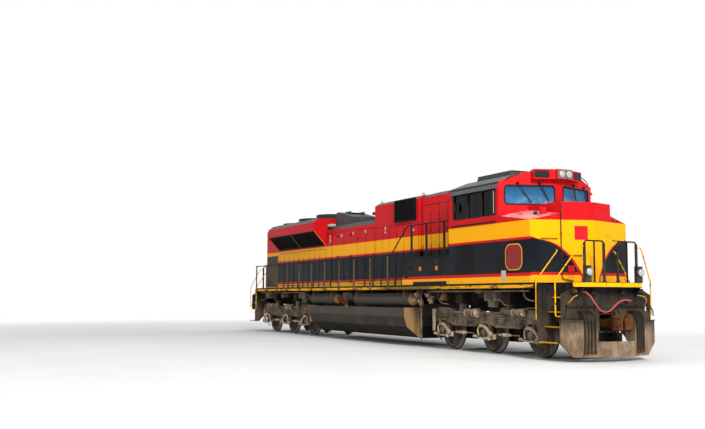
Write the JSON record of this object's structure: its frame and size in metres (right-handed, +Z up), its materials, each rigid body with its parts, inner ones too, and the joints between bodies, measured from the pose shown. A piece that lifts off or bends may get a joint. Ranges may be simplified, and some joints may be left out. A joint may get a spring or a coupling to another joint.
{
  "type": "diesel locomotive",
  "caption": "Diesel-electric road locomotive with a wide nose, red top, yellow band and black lower body, couplers and a snow plough",
  "frame": {"origin": "On the centre line, midway between the bogies, at the lowest point of the wheel flanges.", "axes": "+X along the locomotive to the cab end, +Y to its left, +Z up"},
  "size_m": [22.63, 3.2446, 4.915],
  "materials": {
    "body_red": "satin",
    "body_yellow": "satin",
    "body_black": "satin",
    "roof_grey": "satin",
    "underframe_black": "matte",
    "bogie_cast": "matte",
    "wheel_steel": "satin",
    "rusty_steel": "matte",
    "rail_yellow": "satin",
    "window_glass": "gloss",
    "seat_vinyl": "satin",
    "brass_bell": "satin",
    "hose_rubber": "matte",
    "cable_red": "matte",
    "dark_grille": "matte"
  },
  "bodies": {
    "locomotive": {"underframe": "underframe_black", "fuel_tank": "underframe_black", "air_reservoirs": "underframe_black", "engine_block": "underframe_black", "pilot_front": "body_black", "pilot_rear": "body_black", "snow_plow": "body_black", "cab_shell": "body_red", "cab_glass": "window_glass", "cab_seats": "seat_vinyl", "control_desk": "body_black", "nose_shell": "body_red", "headlight_housing": "body_red", "air_conditioner": "roof_grey", "walkway_cabinets": "body_black", "equipment_hood": "body_red", "engine_hood_tall": "body_red", "intake_screens": "dark_grille", "engine_hood_low": "body_red", "exhaust_silencer": "roof_grey", "radiator_hood": "body_red", "radiator_screens": "dark_grille", "cab_sunshades": "roof_grey", "jumper_cable": "cable_red", "air_hoses": "hose_rubber", "walkway_handrails": "underframe_black", "end_handrails": "rail_yellow", "ditch_lights": "body_black", "horn": "roof_grey", "bell": "brass_bell"},
    "bogie_front": {"bogie_frame_front": "bogie_cast", "journal_boxes_front": "bogie_cast", "traction_motors_front": "underframe_black"},
    "wheelset_front_1": {"wheelset_front_1": "wheel_steel"},
    "wheelset_front_2": {"wheelset_front_2": "wheel_steel"},
    "wheelset_front_3": {"wheelset_front_3": "wheel_steel"},
    "bogie_rear": {"bogie_frame_rear": "bogie_cast", "journal_boxes_rear": "bogie_cast", "traction_motors_rear": "underframe_black"},
    "wheelset_rear_1": {"wheelset_rear_1": "wheel_steel"},
    "wheelset_rear_2": {"wheelset_rear_2": "wheel_steel"},
    "wheelset_rear_3": {"wheelset_rear_3": "wheel_steel"},
    "radiator_fan_1": {"radiator_fan_1": "dark_grille"},
    "radiator_fan_2": {"radiator_fan_2": "dark_grille"},
    "radiator_fan_3": {"radiator_fan_3": "dark_grille"},
    "coupler_front": {"coupler_front": "rusty_steel"},
    "knuckle_front": {"knuckle_front": "rusty_steel"},
    "coupler_rear": {"coupler_rear": "rusty_steel"},
    "knuckle_rear": {"knuckle_rear": "rusty_steel"},
    "nose_door": {"nose_door": "body_yellow"},
    "cab_door_right": {"cab_door_right": "body_red"},
    "cab_door_left": {"cab_door_left": "body_red"},
    "engine_door_right_1a": {"engine_door_right_1a": "body_red"},
    "engine_door_right_1b": {"engine_door_right_1b": "body_red"},
    "engine_door_right_2a": {"engine_door_right_2a": "body_red"},
    "engine_door_right_2b": {"engine_door_right_2b": "body_red"},
    "engine_door_left_1a": {"engine_door_left_1a": "body_red"},
    "engine_door_left_1b": {"engine_door_left_1b": "body_red"},
    "engine_door_left_2a": {"engine_door_left_2a": "body_red"},
    "engine_door_left_2b": {"engine_door_left_2b": "body_red"}
  },
  "joints": [
    {"name": "bogie_front_swivel", "type": "hinge", "parent": "locomotive", "child": "bogie_front", "pos_m": [7.09, 0, 1.27], "axis": [0, 0, 1], "range_deg": [-4, 4]},
    {"name": "wheelset_front_1_roll", "type": "hinge", "parent": "bogie_front", "child": "wheelset_front_1", "pos_m": [9.13, 0, 0.5615], "axis": [0, 1, 0], "continuous": true},
    {"name": "wheelset_front_2_roll", "type": "hinge", "parent": "bogie_front", "child": "wheelset_front_2", "pos_m": [7.09, 0, 0.5615], "axis": [0, 1, 0], "continuous": true},
    {"name": "wheelset_front_3_roll", "type": "hinge", "parent": "bogie_front", "child": "wheelset_front_3", "pos_m": [5.05, 0, 0.5615], "axis": [0, 1, 0], "continuous": true},
    {"name": "bogie_rear_swivel", "type": "hinge", "parent": "locomotive", "child": "bogie_rear", "pos_m": [-7.09, 0, 1.27], "axis": [0, 0, 1], "range_deg": [-4, 4]},
    {"name": "wheelset_rear_1_roll", "type": "hinge", "parent": "bogie_rear", "child": "wheelset_rear_1", "pos_m": [-5.05, 0, 0.5615], "axis": [0, 1, 0], "continuous": true},
    {"name": "wheelset_rear_2_roll", "type": "hinge", "parent": "bogie_rear", "child": "wheelset_rear_2", "pos_m": [-7.09, 0, 0.5615], "axis": [0, 1, 0], "continuous": true},
    {"name": "wheelset_rear_3_roll", "type": "hinge", "parent": "bogie_rear", "child": "wheelset_rear_3", "pos_m": [-9.13, 0, 0.5615], "axis": [0, 1, 0], "continuous": true},
    {"name": "radiator_fan_1_spin", "type": "hinge", "parent": "locomotive", "child": "radiator_fan_1", "pos_m": [-8.45, 0, 4.5], "axis": [0, 0, 1], "continuous": true},
    {"name": "radiator_fan_2_spin", "type": "hinge", "parent": "locomotive", "child": "radiator_fan_2", "pos_m": [-6.7, 0, 4.5], "axis": [0, 0, 1], "continuous": true},
    {"name": "radiator_fan_3_spin", "type": "hinge", "parent": "locomotive", "child": "radiator_fan_3", "pos_m": [-4.9, 0, 4.5], "axis": [0, 0, 1], "continuous": true},
    {"name": "coupler_front_swing", "type": "hinge", "parent": "locomotive", "child": "coupler_front", "pos_m": [9.95, 0, 0.904], "axis": [0, 0, 1], "range_deg": [-7, 7]},
    {"name": "knuckle_front_open", "type": "hinge", "parent": "coupler_front", "child": "knuckle_front", "pos_m": [11.115, 0.17, 0.904], "axis": [0, 0, 1], "range_deg": [0, 40]},
    {"name": "coupler_rear_swing", "type": "hinge", "parent": "locomotive", "child": "coupler_rear", "pos_m": [-9.95, 0, 0.904], "axis": [0, 0, 1], "range_deg": [-7, 7]},
    {"name": "knuckle_rear_open", "type": "hinge", "parent": "coupler_rear", "child": "knuckle_rear", "pos_m": [-11.115, -0.17, 0.904], "axis": [0, 0, 1], "range_deg": [0, 40]},
    {"name": "nose_door_hinge", "type": "hinge", "parent": "locomotive", "child": "nose_door", "pos_m": [10.11215, 0.16849, 2.15], "axis": [0, 0, 1], "range_deg": [-85, 0]},
    {"name": "cab_door_right_hinge", "type": "hinge", "parent": "locomotive", "child": "cab_door_right", "pos_m": [5.966, -0.9425, 2.95], "axis": [0, 0, 1], "range_deg": [-90, 0]},
    {"name": "cab_door_left_hinge", "type": "hinge", "parent": "locomotive", "child": "cab_door_left", "pos_m": [5.966, 0.9425, 2.95], "axis": [0, 0, 1], "range_deg": [0, 90]},
    {"name": "engine_door_right_1a_hinge", "type": "hinge", "parent": "locomotive", "child": "engine_door_right_1a", "pos_m": [-3.0025, -0.964, 2.2], "axis": [0, 0, 1], "range_deg": [-90, 0]},
    {"name": "engine_door_right_1b_hinge", "type": "hinge", "parent": "locomotive", "child": "engine_door_right_1b", "pos_m": [-2.0295, -0.964, 2.2], "axis": [0, 0, 1], "range_deg": [0, 90]},
    {"name": "engine_door_right_2a_hinge", "type": "hinge", "parent": "locomotive", "child": "engine_door_right_2a", "pos_m": [-1.9025, -0.964, 2.2], "axis": [0, 0, 1], "range_deg": [-90, 0]},
    {"name": "engine_door_right_2b_hinge", "type": "hinge", "parent": "locomotive", "child": "engine_door_right_2b", "pos_m": [-0.9295, -0.964, 2.2], "axis": [0, 0, 1], "range_deg": [0, 90]},
    {"name": "engine_door_left_1a_hinge", "type": "hinge", "parent": "locomotive", "child": "engine_door_left_1a", "pos_m": [-3.0025, 0.964, 2.2], "axis": [0, 0, 1], "range_deg": [0, 90]},
    {"name": "engine_door_left_1b_hinge", "type": "hinge", "parent": "locomotive", "child": "engine_door_left_1b", "pos_m": [-2.0295, 0.964, 2.2], "axis": [0, 0, 1], "range_deg": [-90, 0]},
    {"name": "engine_door_left_2a_hinge", "type": "hinge", "parent": "locomotive", "child": "engine_door_left_2a", "pos_m": [-1.9025, 0.964, 2.2], "axis": [0, 0, 1], "range_deg": [0, 90]},
    {"name": "engine_door_left_2b_hinge", "type": "hinge", "parent": "locomotive", "child": "engine_door_left_2b", "pos_m": [-0.9295, 0.964, 2.2], "axis": [0, 0, 1], "range_deg": [-90, 0]}
  ]
}
